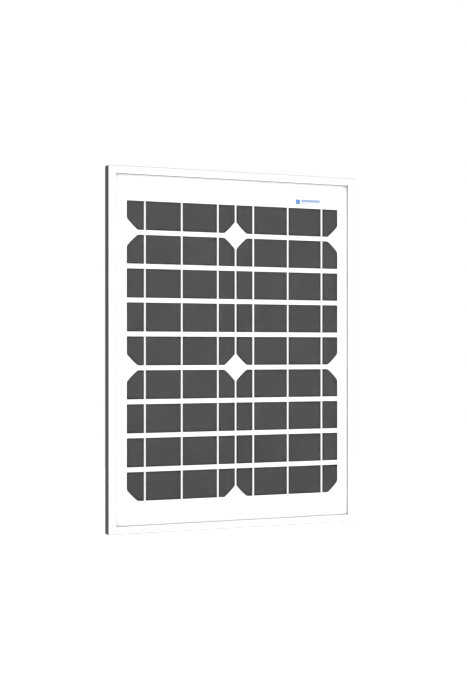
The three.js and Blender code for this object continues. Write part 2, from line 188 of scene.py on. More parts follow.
def anodised(name, stretch):
    """Silver anodised aluminium, with fine extrusion lines along the axis that stretch draws out."""
    dark, light = (0.655, 0.665, 0.685), (0.695, 0.705, 0.725)
    return grained(name, dark, light, (0.26, 0.36), 2600, 0.000004, 1.0, 9, stretch)


def solar_glass():
    """Low-iron glass: nearly clear, with a weak gloss broken up by a fine pressed texture.

    The gloss is the same on both faces of the pane: weak face on, and rising towards the edge.
    """
    mat, tree, shader = material("solar_glass")
    tree.nodes.remove(shader)
    clear = tree.nodes.new("ShaderNodeBsdfTransparent")
    clear.inputs["Color"].default_value = (0.996, 0.999, 0.997, 1)
    gloss = tree.nodes.new("ShaderNodeBsdfGlossy")
    gloss.inputs["Color"].default_value = (0.95, 0.97, 0.97, 1)
    fine = noise(tree, 900, 3.0)
    tree.links.new(spread(tree, fine, 0.14, 0.24), gloss.inputs["Roughness"])
    relief(tree, gloss, fine, 0.00003)
    weight = tree.nodes.new("ShaderNodeLayerWeight")
    weight.inputs["Blend"].default_value = 0.5
    rising = maths(tree, "POWER", weight.outputs["Facing"], 5.0)
    shine = maths(tree, "MULTIPLY_ADD", rising, 1.0 - GLASS_SHINE, GLASS_SHINE)
    mix = tree.nodes.new("ShaderNodeMixShader")
    tree.links.new(shine, mix.inputs["Fac"])
    tree.links.new(clear.outputs["BSDF"], mix.inputs[1])
    tree.links.new(gloss.outputs["BSDF"], mix.inputs[2])
    tree.links.new(mix.outputs["Shader"], tree.nodes["Material Output"].inputs["Surface"])
    return mat


def clear_film():
    """The encapsulant in front of the cells, which is all but invisible."""
    mat, _, shader = material("encapsulant")
    shader.inputs["Base Color"].default_value = (0.9, 0.9, 0.9, 1)
    shader.inputs["Roughness"].default_value = 0.5
    shader.inputs["Alpha"].default_value = 0.004
    return mat


def grey(value):
    return (value, value, value)


def make_materials():
    """Every material of the object, by the short name that the pieces use."""
    return {
        "anodised_z": anodised("anodised_upright", (1, 1, EXTRUSION_STRETCH)),
        "anodised_x": anodised("anodised_level", (EXTRUSION_STRETCH, 1, 1)),
        "key": grained("key_alloy", grey(0.55), grey(0.66), (0.4, 0.55), 1800, 0.00001, 1.0),
        "glass": solar_glass(),
        "film": clear_film(),
        "white_film": embedded("white_encapsulant", grey(0.85), grey(0.87), 0.55, 14, specular=0.1),
        "backsheet": grained("backsheet_film", grey(0.925), grey(0.95), (0.5, 0.62), 700, 0.00001),
        "rim": embedded("cell_edge", grey(0.005), grey(0.008), 0.42, 40),
        "cell": embedded("cell_face", grey(0.0195), grey(0.0225), 0.45),
        "finger": embedded("cell_finger", grey(0.14), grey(0.18), 0.42, metallic=0.3, specular=0.5),
        "ribbon": embedded("tinned_ribbon", grey(0.66), grey(0.71), 0.35, 60, 0.6, 0.5),
        "bus": embedded("tinned_bus", grey(0.88), grey(0.91), 0.45, 60, 0.1, 0.1),
        "tape": embedded("edge_tape", grey(0.80), grey(0.88), 0.82, 18, specular=0.5),
        # the bead by the glass: a real sealant, whose dark grey is painted shade standing in for the
        # shadow line between glass and lip
        "sealant_with_painted_shade_line": grained("sealant_with_painted_shade_line", grey(0.075), grey(0.095), (0.35, 0.5), 700, 0.00002),
        "sealant": grained("sealant", (0.80, 0.80, 0.78), (0.88, 0.88, 0.86), (0.32, 0.5), 260, 0.00006),
        "plastic": grained("box_plastic", grey(0.014), grey(0.022), (0.42, 0.6), 2600, 0.00002),
        "rubber": grained("seal_rubber", grey(0.010), grey(0.016), (0.7, 0.85), 1500, 0.00001),
        "plate": grained("tinned_plate", grey(0.62), grey(0.72), (0.25, 0.4), 1200, 0.000005, 0.9, 120),
        "solder": grained("solder", grey(0.6), grey(0.72), (0.16, 0.3), 900, 0.00002, 0.95, 200),
        "steel": grained(
            "zinc_steel", (0.62, 0.63, 0.64), (0.74, 0.75, 0.76), (0.2, 0.36), 1600, 0.000004, 1.0, 250
        ),
        "epoxy": grained("diode_body", grey(0.012), grey(0.02), (0.3, 0.42), 2600, 0.000006),
        "band": grained("diode_band", grey(0.62), grey(0.7), (0.35, 0.5), 2600, 0.000004),
        "label": grained(
            "label_stock", (0.68, 0.69, 0.70), (0.76, 0.77, 0.78), (0.3, 0.42), 1200, 0.000003, 0.5, 30
        ),
        "grey_print": grained(
            "grey_print", grey(0.16), grey(0.2), (0.4, 0.55), 2000, 0.000002, 0.0, 200, specular=0.2
        ),
        "blue_print": embedded("blue_print", (0.09, 0.21, 0.46), (0.11, 0.24, 0.50), 0.5, 200),
        "pale_blue_print": embedded("pale_blue_print", (0.25, 0.33, 0.50), (0.29, 0.37, 0.54), 0.5, 200),
        "faint_blue_print": embedded("faint_blue_print", (0.47, 0.53, 0.63), (0.51, 0.57, 0.67), 0.5, 200),
    }


MATERIALS = make_materials()


# ---------- mesh helpers ----------

MERGE = 0.002 * MM
BEAD_SMOOTH = math.radians(60)


def piece(name, mesh, mat, body=PANEL, replaces=()):
    """Puts a finished mesh in the scene as a piece that rides on a body."""
    obj = bpy.data.objects.new(name, mesh)
    bpy.context.scene.collection.objects.link(obj)
    mesh.materials.clear()
    mesh.materials.append(MATERIALS[mat])
    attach(obj, body)
    if replaces:
        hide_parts(*replaces)
    return obj


def mesh_of(name, bm, smooth_angle=math.radians(35)):
    """Turns a bmesh into a mesh whose faces are smooth up to an angle."""
    bmesh.ops.recalc_face_normals(bm, faces=bm.faces)
    mesh = bpy.data.meshes.new(name)
    bm.to_mesh(mesh)
    bm.free()
    mesh.shade_smooth()
    mesh.set_sharp_from_angle(angle=smooth_angle)
    return mesh


def apply_modifiers(obj):
    """Turns a piece's modifiers into plain mesh."""
    graph = bpy.context.evaluated_depsgraph_get()
    obj.data = bpy.data.meshes.new_from_object(obj.evaluated_get(graph), depsgraph=graph)
    obj.modifiers.clear()


def close_up(mesh):
    """Merges the points that a bevel has brought together, so that no empty face is left."""
    bm = bmesh.new()
    bm.from_mesh(mesh)
    bmesh.ops.remove_doubles(bm, verts=bm.verts, dist=MERGE)
    bmesh.ops.dissolve_degenerate(bm, edges=bm.edges, dist=MERGE)
    bm.to_mesh(mesh)
    bm.free()


def round_edges(obj, width, segments=2, angle=math.radians(30)):
    """Bevels the sharp edges of a piece and shades them softly."""
    bevel = obj.modifiers.new("bevel", "BEVEL")
    bevel.width = width
    bevel.segments = segments
    bevel.limit_method = "ANGLE"
    bevel.angle_limit = angle
    bevel.use_clamp_overlap = True
    apply_modifiers(obj)
    close_up(obj.data)
    weighted = obj.modifiers.new("weighted", "WEIGHTED_NORMAL")
    weighted.keep_sharp = True
    apply_modifiers(obj)


def node_body(node):
    return NODES[node]["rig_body"]


def softened(node, name, mat, width, segments=2):
    """Replaces a CAD node with the same shape with rounded edges."""
    bm = bmesh.new()
    bm.from_mesh(NODES[node].data)
    bmesh.ops.remove_doubles(bm, verts=bm.verts, dist=1e-6)
    bmesh.ops.dissolve_limit(bm, angle_limit=math.radians(1), verts=bm.verts, edges=bm.edges)
    obj = piece(name, mesh_of(name, bm), mat, node_body(node), [node])
    round_edges(obj, width, segments)


def add_box(bm, low, high):
    """Adds a closed box to a bmesh."""
    xs, ys, zs = zip(low, high)
    corners = [bm.verts.new((x, y, z)) for x in xs for y in ys for z in zs]
    for face in ((0, 1, 3, 2), (4, 6, 7, 5), (0, 4, 5, 1), (2, 3, 7, 6), (0, 2, 6, 4), (1, 5, 7, 3)):
        bm.faces.new([corners[i] for i in face])


def add_prism(bm, outline, y0, y1):
    """Adds a flat outline of (x, z) points, made solid between two planes of Y."""
    rings = [[bm.verts.new((x, y, z)) for x, z in outline] for y in (y0, y1)]
    bm.faces.new(rings[0])
    bm.faces.new(reversed(rings[1]))
    join_rings(bm, rings)


def join_rings(bm, rings, around=True):
    """Adds the side faces between rings of vertices."""
    count = len(rings[0])
    for first, second in zip(rings, rings[1:]):
        for i in range(count if around else count - 1):
            j = (i + 1) % count
            bm.faces.new((first[i], first[j], second[j], second[i]))


def add_lathe(bm, profile, centre, axis, steps=48):
    """Turns a closed profile of (radius, height) points about an axis, 'x', 'y' or 'z'."""
    rings = []
    for i in range(steps):
        angle = 2 * math.pi * i / steps
        ring = []
        for radius, height in profile:
            across, up = radius * math.cos(angle), radius * math.sin(angle)
            local = {"x": (height, across, up), "y": (across, height, up), "z": (across, up, height)}[axis]
            ring.append(bm.verts.new(Vector(centre) + Vector(local)))
        rings.append(ring)
    join_rings(bm, rings + [rings[0]])


def add_loop(bm, points, section):
    """Sweeps a closed section round a closed loop of (x, z) points, with mitred corners.

    section(i) gives the (across, y) points at loop point i, where across is to the left of travel.
    """
    rings = []
    count = len(points)
    for i, (x, z) in enumerate(points):
        before, after = points[i - 1], points[(i + 1) % count]
        first = Vector((x - before[0], z - before[1])).normalized()
        second = Vector((after[0] - x, after[1] - z)).normalized()
        normals = Vector((-first.y, first.x)) + Vector((-second.y, second.x))
        mitre = normals / (1 + first.dot(second))
        rings.append([bm.verts.new((x + mitre.x * a, y, z + mitre.y * a)) for a, y in section(i)])
    join_rings(bm, rings + [rings[0]])


def rectangle(half_x, half_z):
    """The corners of a rectangle about the origin, as (x, z) points, anticlockwise."""
    return [(-half_x, -half_z), (half_x, -half_z), (half_x, half_z), (-half_x, half_z)]


def spaced(points, step):
    """A closed loop of points with more points put in along its sides, about a step apart."""
    result = []
    for (ax, az), (bx, bz) in zip(points, points[1:] + points[:1]):
        parts = max(1, round(math.hypot(bx - ax, bz - az) / step))
        result += [(ax + (bx - ax) * i / parts, az + (bz - az) * i / parts) for i in range(parts)]
    return result


def rounded_rectangle(x0, x1, z0, z1, radius, steps=5):
    """A rectangle in X and Z with round corners, anticlockwise seen with X right and Z up."""
    left, right, bottom, top = x0 + radius, x1 - radius, z0 + radius, z1 - radius
    result = []
    for corner, (cx, cz) in enumerate(((right, bottom), (right, top), (left, top), (left, bottom))):
        for i in range(steps + 1):
            angle = (corner - 1 + i / steps) * math.pi / 2
            result.append((cx + radius * math.cos(angle), cz + radius * math.sin(angle)))
    return result


def add_tube(bm, points, radius, sides=12):
    """A solid round bar along an open path of points."""
    points = [Vector(p) for p in points]
    side = None
    rings = []
    for i, point in enumerate(points):
        ahead = (points[min(i + 1, len(points) - 1)] - points[max(i - 1, 0)]).normalized()
        if side is None:
            side = ahead.orthogonal().normalized()
        side = (side - ahead * side.dot(ahead)).normalized()
        other = ahead.cross(side)
        ring = []
        for k in range(sides):
            turn = 2 * math.pi * k / sides
            ring.append(bm.verts.new(point + radius * (math.cos(turn) * side + math.sin(turn) * other)))
        rings.append(ring)
    bm.faces.new(rings[0])
    bm.faces.new(reversed(rings[-1]))
    join_rings(bm, rings)


def add_blob(bm, centre, half_x, half_z, height, rng, steps=28, levels=6):
    """A low uneven dome of solder or glue, standing on a plane of Y and rising towards +Y."""
    waves = [rng.uniform(-0.06, 0.06) for _ in range(4)]
    rings = []
    for level in range(levels):
        turn = level / levels * math.pi / 2
        ring = []
        for i in range(steps):
            angle = 2 * math.pi * i / steps
            wander = sum(w * math.sin((k + 2) * angle + k) for k, w in enumerate(waves))
            reach = math.cos(turn) * (1 + wander)
            x = centre[0] + half_x * reach * math.cos(angle)
            z = centre[2] + half_z * reach * math.sin(angle)
            ring.append(bm.verts.new((x, centre[1] + height * math.sin(turn), z)))
        rings.append(ring)
    join_rings(bm, rings)
    bm.faces.new(rings[0])
    top = bm.verts.new((centre[0], centre[1] + height, centre[2]))
    last = rings[-1]
    for i in range(steps):
        bm.faces.new((last[i], last[(i + 1) % steps], top))


# ---------- convex outlines in X and Z ----------


def front_outline(node):
    """The outline of a flat convex node, as (x, z) points in order round its middle."""
    low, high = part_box(node)
    middle = (low + high) / 2
    points = [v.co for v in NODES[node].data.vertices if v.co.y < middle.y]
    seen = {(round(point.x, 6), round(point.z, 6)) for point in points}
    return sorted(seen, key=lambda p: math.atan2(p[1] - middle.z, p[0] - middle.x))


def clipped(outline, nx, nz, limit):
    """The part of a convex outline where nx * x + nz * z <= limit."""
    kept = []
    for (ax, az), (bx, bz) in zip(outline, outline[1:] + outline[:1]):
        a = nx * ax + nz * az - limit
        b = nx * bx + nz * bz - limit
        if a <= 0:
            kept.append((ax, az))
        if (a < 0 < b) or (b < 0 < a):
            t = a / (a - b)
            kept.append((ax + t * (bx - ax), az + t * (bz - az)))
    return kept


def inset(outline, distance):
    """A convex outline drawn in by a distance on every side."""
    result = outline
    for (ax, az), (bx, bz) in zip(outline, outline[1:] + outline[:1]):
        length = math.hypot(bx - ax, bz - az)
        if length < 1e-7:
            continue
        nx, nz = (bz - az) / length, -(bx - ax) / length
        result = clipped(result, nx, nz, nx * ax + nz * az - distance)
    return result


# ---------- frame ----------

RAILS = {"left": "anodised_z", "right": "anodised_z", "bottom": "anodised_x", "top": "anodised_x"}
RAIL_EDGE = 0.22 * MM
KEY_EDGE = 0.3 * MM
FRAME_WEB = 7.75 * MM
SEALANT_LEG = 1.7 * MM
SEALANT_STEP = 3 * MM
SEALANT_WANDER = 0.28
GLASS_BEAD = 0.42 * MM
GLASS_BEAD_STEP = 6 * MM
GLASS_BEAD_WANDER = 0.1
BEAD_STEPS = 6
BEAD_FLAT = 0.8
BEAD_BULGE = 0.14


def build_frame():
    """The four rails, and the keys pressed into their ends."""
    for side, mat in RAILS.items():
        softened(f"frame_rail_{side}", f"rail_{side}", mat, RAIL_EDGE, 3)
    for corner in ("bottom_left", "top_left", "top_right", "bottom_right"):
        softened(f"corner_key_{corner}", f"key_{corner}", "key", KEY_EDGE)


def bead_section(base_y, leg, under=0.0, rise=1):
    """A bead's quarter-round section in a corner: it reaches out along a face and up a wall.

    rise is 1 where the wall goes towards +Y, and -1 where it goes towards -Y. under is how far the
    bead carries on past the wall's face.
    """
    arc = []
    for k in range(BEAD_STEPS + 1):
        turn = k / BEAD_STEPS * math.pi / 2
        bulge = leg * (BEAD_FLAT + BEAD_BULGE * math.sin(2 * turn))
        arc.append((bulge * math.cos(turn), base_y + rise * bulge * math.sin(turn)))
    if not under:
        return arc + [(0, base_y)]
    return arc + [(-under, base_y + rise * leg * BEAD_FLAT), (-under, base_y)]


def uneven(rng, count, amount):
    """Sizes near 1 that wander slowly round a loop, as a hand-laid bead does."""
    phases = [(rng.randint(3, 40), rng.uniform(0, 6.3), rng.uniform(0.3, 1)) for _ in range(6)]
    total = sum(weight for _, _, weight in phases)
    sizes = []
    for i in range(count):
        turn = 2 * math.pi * i / count
        sizes.append(1 + amount * sum(w * math.sin(n * turn + p) for n, p, w in phases) / total)
    return sizes


def build_bead(name, mat, loop, base_y, leg, seed, amount, under=0.0, rise=1):
    """A bead laid round a loop of (x, z) points, whose size wanders by an amount."""
    sizes = uneven(random.Random(seed), len(loop), amount)
    bm = bmesh.new()
    add_loop(bm, loop, lambda i: bead_section(base_y, leg * sizes[i], under, rise))
    piece(name, mesh_of(name, bm, BEAD_SMOOTH), mat)


def build_sealant():
    """A hand-laid bead in the corner between the back of the film and the inside of the frame."""
    film_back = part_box("backsheet")[1].y
    half_x = -(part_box("frame_rail_left")[0].x + FRAME_WEB)
    half_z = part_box("frame_rail_top")[1].z - FRAME_WEB
    loop = spaced(rectangle(half_x, half_z), SEALANT_STEP)
    build_bead("sealant_bead", "sealant", loop, film_back, SEALANT_LEG, 7, SEALANT_WANDER)


def build_glass_seal():
    """A thin sealant bead in the corner between the glass and the frame's front lip, coloured dark grey to
    paint the shadow line in that gap.
    """
    glass_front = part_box("front_glass")[0].y
    half_x = min(v.co.x for v in NODES["frame_rail_right"].data.vertices if v.co.y < glass_front)
    half_z = min(v.co.z for v in NODES["frame_rail_top"].data.vertices if v.co.y < glass_front)
    loop = spaced(rectangle(half_x, half_z), GLASS_BEAD_STEP)
    leg, wander = GLASS_BEAD, GLASS_BEAD_WANDER
    build_bead("glass_seal", "sealant_with_painted_shade_line", loop, glass_front, leg, 19, wander, rise=-1)


# ---------- laminate ----------

SHEET_GAP = 0.02 * MM
SHEET_EDGE = 0.05 * MM
PRESS_RAMP = 0.9 * MM
PRESS_GRID = 12 * MM
CELL_PRESS = 0.05 * MM
RIBBON_PRESS = 0.10 * MM
FILM_GRAIN = 0.006 * MM


def sheet_piece(node, name, mat):
    """A laminate sheet a hair thinner than its node, so that touching faces don't shimmer."""
    low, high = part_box(node)
    gap = Vector((0, SHEET_GAP, 0))
    bm = bmesh.new()
    add_box(bm, low + gap, high - gap)
    obj = piece(name, mesh_of(name, bm), mat, PANEL, [node])
    round_edges(obj, SHEET_EDGE, 1)


def axis_lines(low, high, step, edges, ramp):
    """Grid positions from low to high: an even step, and both ends of each raised edge's ramp."""
    marks = {round(low, 7), round(high, 7)}
    count = int((high - low) / step)
    marks |= {round(low + (high - low) * i / count, 7) for i in range(1, count)}
    for edge in edges:
        near = {m for m in marks if abs(m - edge) < 1.5 * ramp and low < m < high}
        marks -= near
        marks |= {round(edge - ramp, 7), round(edge, 7), round(edge + ramp, 7)}
    return sorted(marks)


def smooth_step(t):
    """Goes from 0 to 1 as t does, level at both ends."""
    return t * t * (3 - 2 * t)


def swell(value, low, high, ramp):
    """1 inside a range, 0 outside it, with a soft ramp."""
    t = min((value - low) / ramp, (high - value) / ramp) / 2 + 0.5
    return smooth_step(max(0.0, min(1.0, t)))


def build_backsheet():
    """The white film, whose back shows the cells and ribbons pressed through it."""
    low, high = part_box("backsheet")
    cells = [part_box(n) for n in NODES if n.startswith("cell_")]
    ribbons = [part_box(n) for n in NODES if n.startswith("string_ribbon_")]
    x_edges = sorted({round(v.x, 6) for b in cells + ribbons for v in b})
    z_edges = sorted({round(v.z, 6) for b in cells for v in b})
    xs = axis_lines(low.x, high.x, PRESS_GRID, x_edges, PRESS_RAMP)
    zs = axis_lines(low.z, high.z, PRESS_GRID, z_edges, PRESS_RAMP)
    front, back = low.y + SHEET_GAP, high.y
    bm = bmesh.new()
    rng = random.Random(3)

    def pressed(x, z, boxes):
        """1 over any of the boxes, 0 away from them all."""
        return max(
            swell(x, a.x, b.x, PRESS_RAMP) * swell(z, a.z, b.z, PRESS_RAMP) for a, b in boxes
        )

    def height(x, z):
        press = CELL_PRESS * pressed(x, z, cells) + RIBBON_PRESS * pressed(x, z, ribbons)
        return press + rng.uniform(0, FILM_GRAIN)

    backs = [[bm.verts.new((x, back + height(x, z), z)) for z in zs] for x in xs]
    fronts = [[bm.verts.new((x, front, z)) for z in (zs[0], zs[-1])] for x in (xs[0], xs[-1])]
    join_rings(bm, backs, around=False)
    f00, f01, f10, f11 = fronts[0][0], fronts[0][1], fronts[1][0], fronts[1][1]
    bm.faces.new((f00, f01, f11, f10))
    bm.faces.new([f00, f01] + list(reversed(backs[0])))
    bm.faces.new([f10, f11] + list(reversed(backs[-1])))
    bm.faces.new([f00, f10] + [column[0] for column in reversed(backs)])
    bm.faces.new([f01, f11] + [column[-1] for column in reversed(backs)])
    mesh = mesh_of("backsheet_film", bm)
    piece("backsheet_film", mesh, "backsheet", PANEL, ["backsheet"])


# ---------- cells ----------

RIM = 1.6 * MM
FACE_T = 0.012 * MM
FINGER_T = 0.02 * MM
FINGER_W = 0.10 * MM
FINGER_PITCH = 2.0 * MM


def build_cell(node):
    """A cell's face, in four panes between and beside its ribbons, and its fine fingers."""
    low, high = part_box(node)
    NODES[node].data.materials.clear()
    NODES[node].data.materials.append(MATERIALS["rim"])
    column = node.split("_")[1]
    ribbons = sorted(
        (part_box(n)[0].x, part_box(n)[1].x) for n in NODES if n.startswith(f"string_ribbon_{column}_")
    )
    printed = inset(front_outline(node), RIM)
    edges = [low.x - RIM] + [x for pair in ribbons for x in pair] + [high.x + RIM]
    faces = bmesh.new()
    for left, right in zip(edges[0::2], edges[1::2]):
        pane = clipped(clipped(printed, 1, 0, right - RIM), -1, 0, -(left + RIM))
        add_prism(faces, pane, low.y - FACE_T, low.y)
    name = node.replace("cell_", "cell_face_")
    piece(name, mesh_of(name, faces), "cell")

    fingers = bmesh.new()
    count = round((high.z - low.z) / FINGER_PITCH) - 1
    for i in range(count):
        z = (low.z + high.z) / 2 + (i - (count - 1) / 2) * FINGER_PITCH
        line = clipped(clipped(printed, 0, 1, z + FINGER_W / 2), 0, -1, -(z - FINGER_W / 2))
        if len(line) < 3:
            continue
        xs = [x for x, _ in line]
        add_box(
            fingers,
            (min(xs), low.y - FINGER_T, z - FINGER_W / 2),
            (max(xs), low.y - FACE_T / 2, z + FINGER_W / 2),
        )
    name = node.replace("cell_", "cell_fingers_")
    piece(name, mesh_of(name, fingers), "finger")


# ---------- ribbons ----------

RIBBON_T = 0.18 * MM
BACK_GAP = 0.01 * MM
BACK_END = 3 * MM
FRONT_END = 0.1 * MM
JOG_CLEAR = 0.5 * MM
BUS_JOG = 5.4 * MM
JOG_STEPS = 8


def add_strip(bm, x0, x1, path):
    """Sweeps a flat strip, wide in X, along a path of (y, z) points of its front face."""
    rings = []
    for i, (y, z) in enumerate(path):
        before, after = path[max(i - 1, 0)], path[min(i + 1, len(path) - 1)]
        dy, dz = after[0] - before[0], after[1] - before[1]
        length = math.hypot(dy, dz)
        ny, nz = abs(dz) / length, -dy / length * (1 if dz > 0 else -1)
        by, bz = y + ny * RIBBON_T, z + nz * RIBBON_T
        rings.append([bm.verts.new(p) for p in ((x0, y, z), (x1, y, z), (x1, by, bz), (x0, by, bz))])
    bm.faces.new(rings[0])
    bm.faces.new(reversed(rings[-1]))
    join_rings(bm, rings)


def build_ribbons(column, line):
    """The separate ribbons of one line: each runs from a cell's front to the back of the next."""
    node = f"string_ribbon_{column}_{line}"
    low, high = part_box(node)
    cells = [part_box(n) for n in NODES if n.startswith(f"cell_{column}_")]
    cells.sort(key=lambda b: -b[0].z)
    front_y = cells[0][0].y - RIBBON_T
    back_y = cells[0][1].y + BACK_GAP
    downwards = column == "c1"
    order = cells if downwards else cells[::-1]
    step = -1 if downwards else 1
    start_z, end_z = (high.z, low.z) if downwards else (low.z, high.z)

    def near_edge(box):
        return box[1].z if downwards else box[0].z

    def far_edge(box):
        return box[0].z if downwards else box[1].z

    def jog(z0, z1):
        """A soft bend from in front of the cells to behind them."""
        steps = [i / JOG_STEPS for i in range(JOG_STEPS + 1)]
        return [(front_y + (back_y - front_y) * smooth_step(t), z0 + (z1 - z0) * t) for t in steps]

    bm = bmesh.new()
    first = near_edge(order[0])
    path = [(front_y, start_z)]
    path += jog(first - step * BUS_JOG, first - step * JOG_CLEAR)
    path += [(back_y, far_edge(order[0]) - step * BACK_END)]
    add_strip(bm, low.x, high.x, path)
    for here, following in zip(order, order[1:]):
        path = [(front_y, near_edge(here) + step * FRONT_END)]
        path += jog(far_edge(here) + step * JOG_CLEAR, near_edge(following) - step * JOG_CLEAR)
        path += [(back_y, far_edge(following) - step * BACK_END)]
        add_strip(bm, low.x, high.x, path)
    path = [(front_y, near_edge(order[-1]) + step * FRONT_END), (front_y, end_z)]
    add_strip(bm, low.x, high.x, path)
    name = f"ribbons_{column}_{line}"
    piece(name, mesh_of(name, bm), "ribbon", PANEL, [node])


def build_laminate():
    """The glass, films, cells, ribbons and bus ribbons, and the tape round them."""
    for node, mat in (("front_glass", "glass"), ("edge_tape", "tape")):
        NODES[node].data.materials.clear()
        NODES[node].data.materials.append(MATERIALS[mat])
    sheet_piece("encapsulant_front", "encapsulant_sheet_front", "film")
    sheet_piece("encapsulant_back", "encapsulant_sheet_back", "white_film")
    build_backsheet()
    for node in sorted(n for n in NODES if n.startswith("cell_")):
        build_cell(node)
    for column in ("c1", "c2"):
        for line in (1, 2, 3):
            build_ribbons(column, line)
    softened("bus_link_bottom", "bus_bottom", "bus", SHEET_EDGE, 1)
    for pole, _ in POLES:
        softened(f"bus_lead_{pole}", f"bus_{pole}", "bus", SHEET_EDGE, 1)


# ---------- printed mark on the glass ----------

MARK_T = 0.012 * MM
MARK_EDGE = 0.005 * MM
MARK_TO_GLASS = 0.003 * MM
MARK_LEFT = 65.8 * MM
MARK_RISE = 3.9 * MM
MARK_PARTS = (
    # name, material, then left edge, bottom edge, width and height in millimetres
    ("mark_square", "blue_print", 0, 1.6, 6.6, 6.6),
    ("mark_bar_upper", "pale_blue_print", 8.6, 4.8, 29.0, 3.5),
    ("mark_bar_lower", "faint_blue_print", 8.6, 2.1, 29.0, 1.4),
)


def build_mark():
    """A plain blue square and two bars above the last column, printed behind the glass."""
    y0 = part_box("front_glass")[1].y + MARK_TO_GLASS
    cell_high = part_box("cell_c2_r1")[1]
    left, base = cell_high.x - MARK_LEFT, cell_high.z + MARK_RISE
    for name, mat, x, z, width, height in MARK_PARTS:
        x0, z0 = left + x * MM, base + z * MM
        bm = bmesh.new()
        add_box(bm, (x0, y0, z0), (x0 + width * MM, y0 + MARK_T, z0 + height * MM))
        obj = piece(name, mesh_of(name, bm), mat)
        round_edges(obj, MARK_EDGE, 1)


# ---------- junction box ----------

BOX_SOFTENED = (
    # node, piece name, material, slot, then edge radius in millimetres and its segments
    ("box_base", "junction_box_base", "plastic", "box_plastic", 0.35, 3),
    ("box_lid_gasket", "lid_gasket", "rubber", "seal_rubber", 0.12, 2),
    ("box_adhesive_pad", "adhesive_pad", "sealant", "adhesive", 0.15, 2),
    ("hinge_pin_left", "lid_pin_left", "steel", "steel", 0.2, 2),
    ("hinge_pin_right", "lid_pin_right", "steel", "steel", 0.2, 2),
)
POLE_SOFTENED = (
    # the same for the parts that each pole has, named without the pole
    ("gland_body", "gland", "plastic", "box_plastic", 0.15),
    ("gland_seal", "gland_ring", "rubber", "seal_rubber", 0.2),
    ("gland_nut", "gland_cap", "plastic", "box_plastic", 0.12),
    ("terminal", "terminal_plate", "plate", "tinned_copper", 0.12),
    ("terminal_screw", "clamp_screw", "steel", "steel", 0.12),
)
BOX_RELIEF = 0.35 * MM
BURIED = 0.1 * MM
SIGN_ARM = 2.2 * MM
SIGN_WIDTH = 1.0 * MM
OUTLET_TOP_Y = -1.0 * MM
OUTLET_SIGN_RISE = 4 * MM
BOX_HALF = 38 * MM
OUTLET_HALF = 30 * MM
OUTLET_RISE = 8 * MM
BOX_RISE = 58 * MM
BOX_BEAD = 1.5 * MM
BOX_BEAD_STEP = 1.5 * MM
BOX_BEAD_UNDER = 0.4 * MM
BOX_BEAD_WANDER = 0.22
SIGN_EDGE = 0.12 * MM
RIB_EDGE = 0.15 * MM
GRIP_EDGE = 0.16 * MM
COVER_EDGE = 0.35 * MM

LID_PLATE_T = 1.25 * MM
BORDER_HALF = 34 * MM
BORDER_RISE = 12.3 * MM
BORDER_DROP = 8.3 * MM
BORDER_RADIUS = 3 * MM
BORDER_FOOT = 0.05 * MM
BORDER_ACROSS = (0, 0.25 * MM, 0.6 * MM, 1.0 * MM, 1.35 * MM, 1.6 * MM)
GRIP_COUNT = 6
GRIP_HALF = 13 * MM
GRIP_RISE = 4 * MM
GRIP_PITCH = 2.2 * MM
RIB_HALF = 0.5 * MM
INNER_RIB_DEPTH = 0.8 * MM
INNER_RIB_X = (-20 * MM, 0, 20 * MM)

WASHER_HALF = 3.2 * MM
WASHER_HOLE = 1.5 * MM
WASHER_T = 0.8 * MM
WASHER_CHAMFER = 0.12 * MM
WASHER_CORNER = 0.8 * MM
WASHER_DROP = 0.45 * MM
SCREW_HEAD_T = 1.6 * MM

DIVIDER_HALF = 0.6 * MM
DIVIDER_H = 1.5 * MM
DIVIDER_SPANS = ((0.1695, 0.185), (0.195, 0.2125))
GUIDE_Z = (0.182, 0.1935)
GUIDE_HALF = 1.5 * MM
GUIDE_W = 1.0 * MM
GUIDE_H = 1.4 * MM
FLOOR_SIGN_X = 0.027
FLOOR_SIGN_Z = 0.178
LEAD_T = 0.25 * MM
LEAD_JOINT_Z = 0.2
DIODE_JOINT_X = 0.013
DIODE_JOINT_Z = 0.19
SOLDER_SINK = 0.02 * MM
LEAD_SOLDER = (2.0 * MM, 3.4 * MM, 0.45 * MM)
DIODE_SOLDER = (1.3 * MM, 1.2 * MM, 0.75 * MM)

DIODE_R = 1.5 * MM
DIODE_HALF = 3 * MM
DIODE_CHAMFER = 0.25 * MM
DIODE_SIDES = 36
DIODE_AXIS = 0.0001 * MM
DIODE_MERGE = 0.001 * MM
BAND_SPAN = (1.2 * MM, 2.1 * MM)
BAND_RISE = 0.02 * MM
BAND_SINK = 0.05 * MM
LEAD_R = 0.4 * MM
LEAD_BEND = 1.0 * MM
LEAD_BEND_STEPS = 6


def block_piece(name, boxes, mat, bevel, body=PANEL):
    """Several closed boxes with rounded edges, as one piece."""
    bm = bmesh.new()
    for low, high in boxes:
        add_box(bm, low, high)
    obj = piece(name, mesh_of(name, bm), mat, body)
    round_edges(obj, bevel, 2)


def sign_boxes(side, x, y0, y1, z):
    """A raised minus, and on the positive side a plus."""
    arm, half = SIGN_ARM, SIGN_WIDTH / 2
    boxes = [((x - arm, y0, z - half), (x + arm, y1, z + half))]
    if side > 0:
        boxes.append(((x - half, y0, z + half), (x + half, y1, z + arm)))
        boxes.append(((x - half, y0, z - arm), (x + half, y1, z - half)))
    return boxes


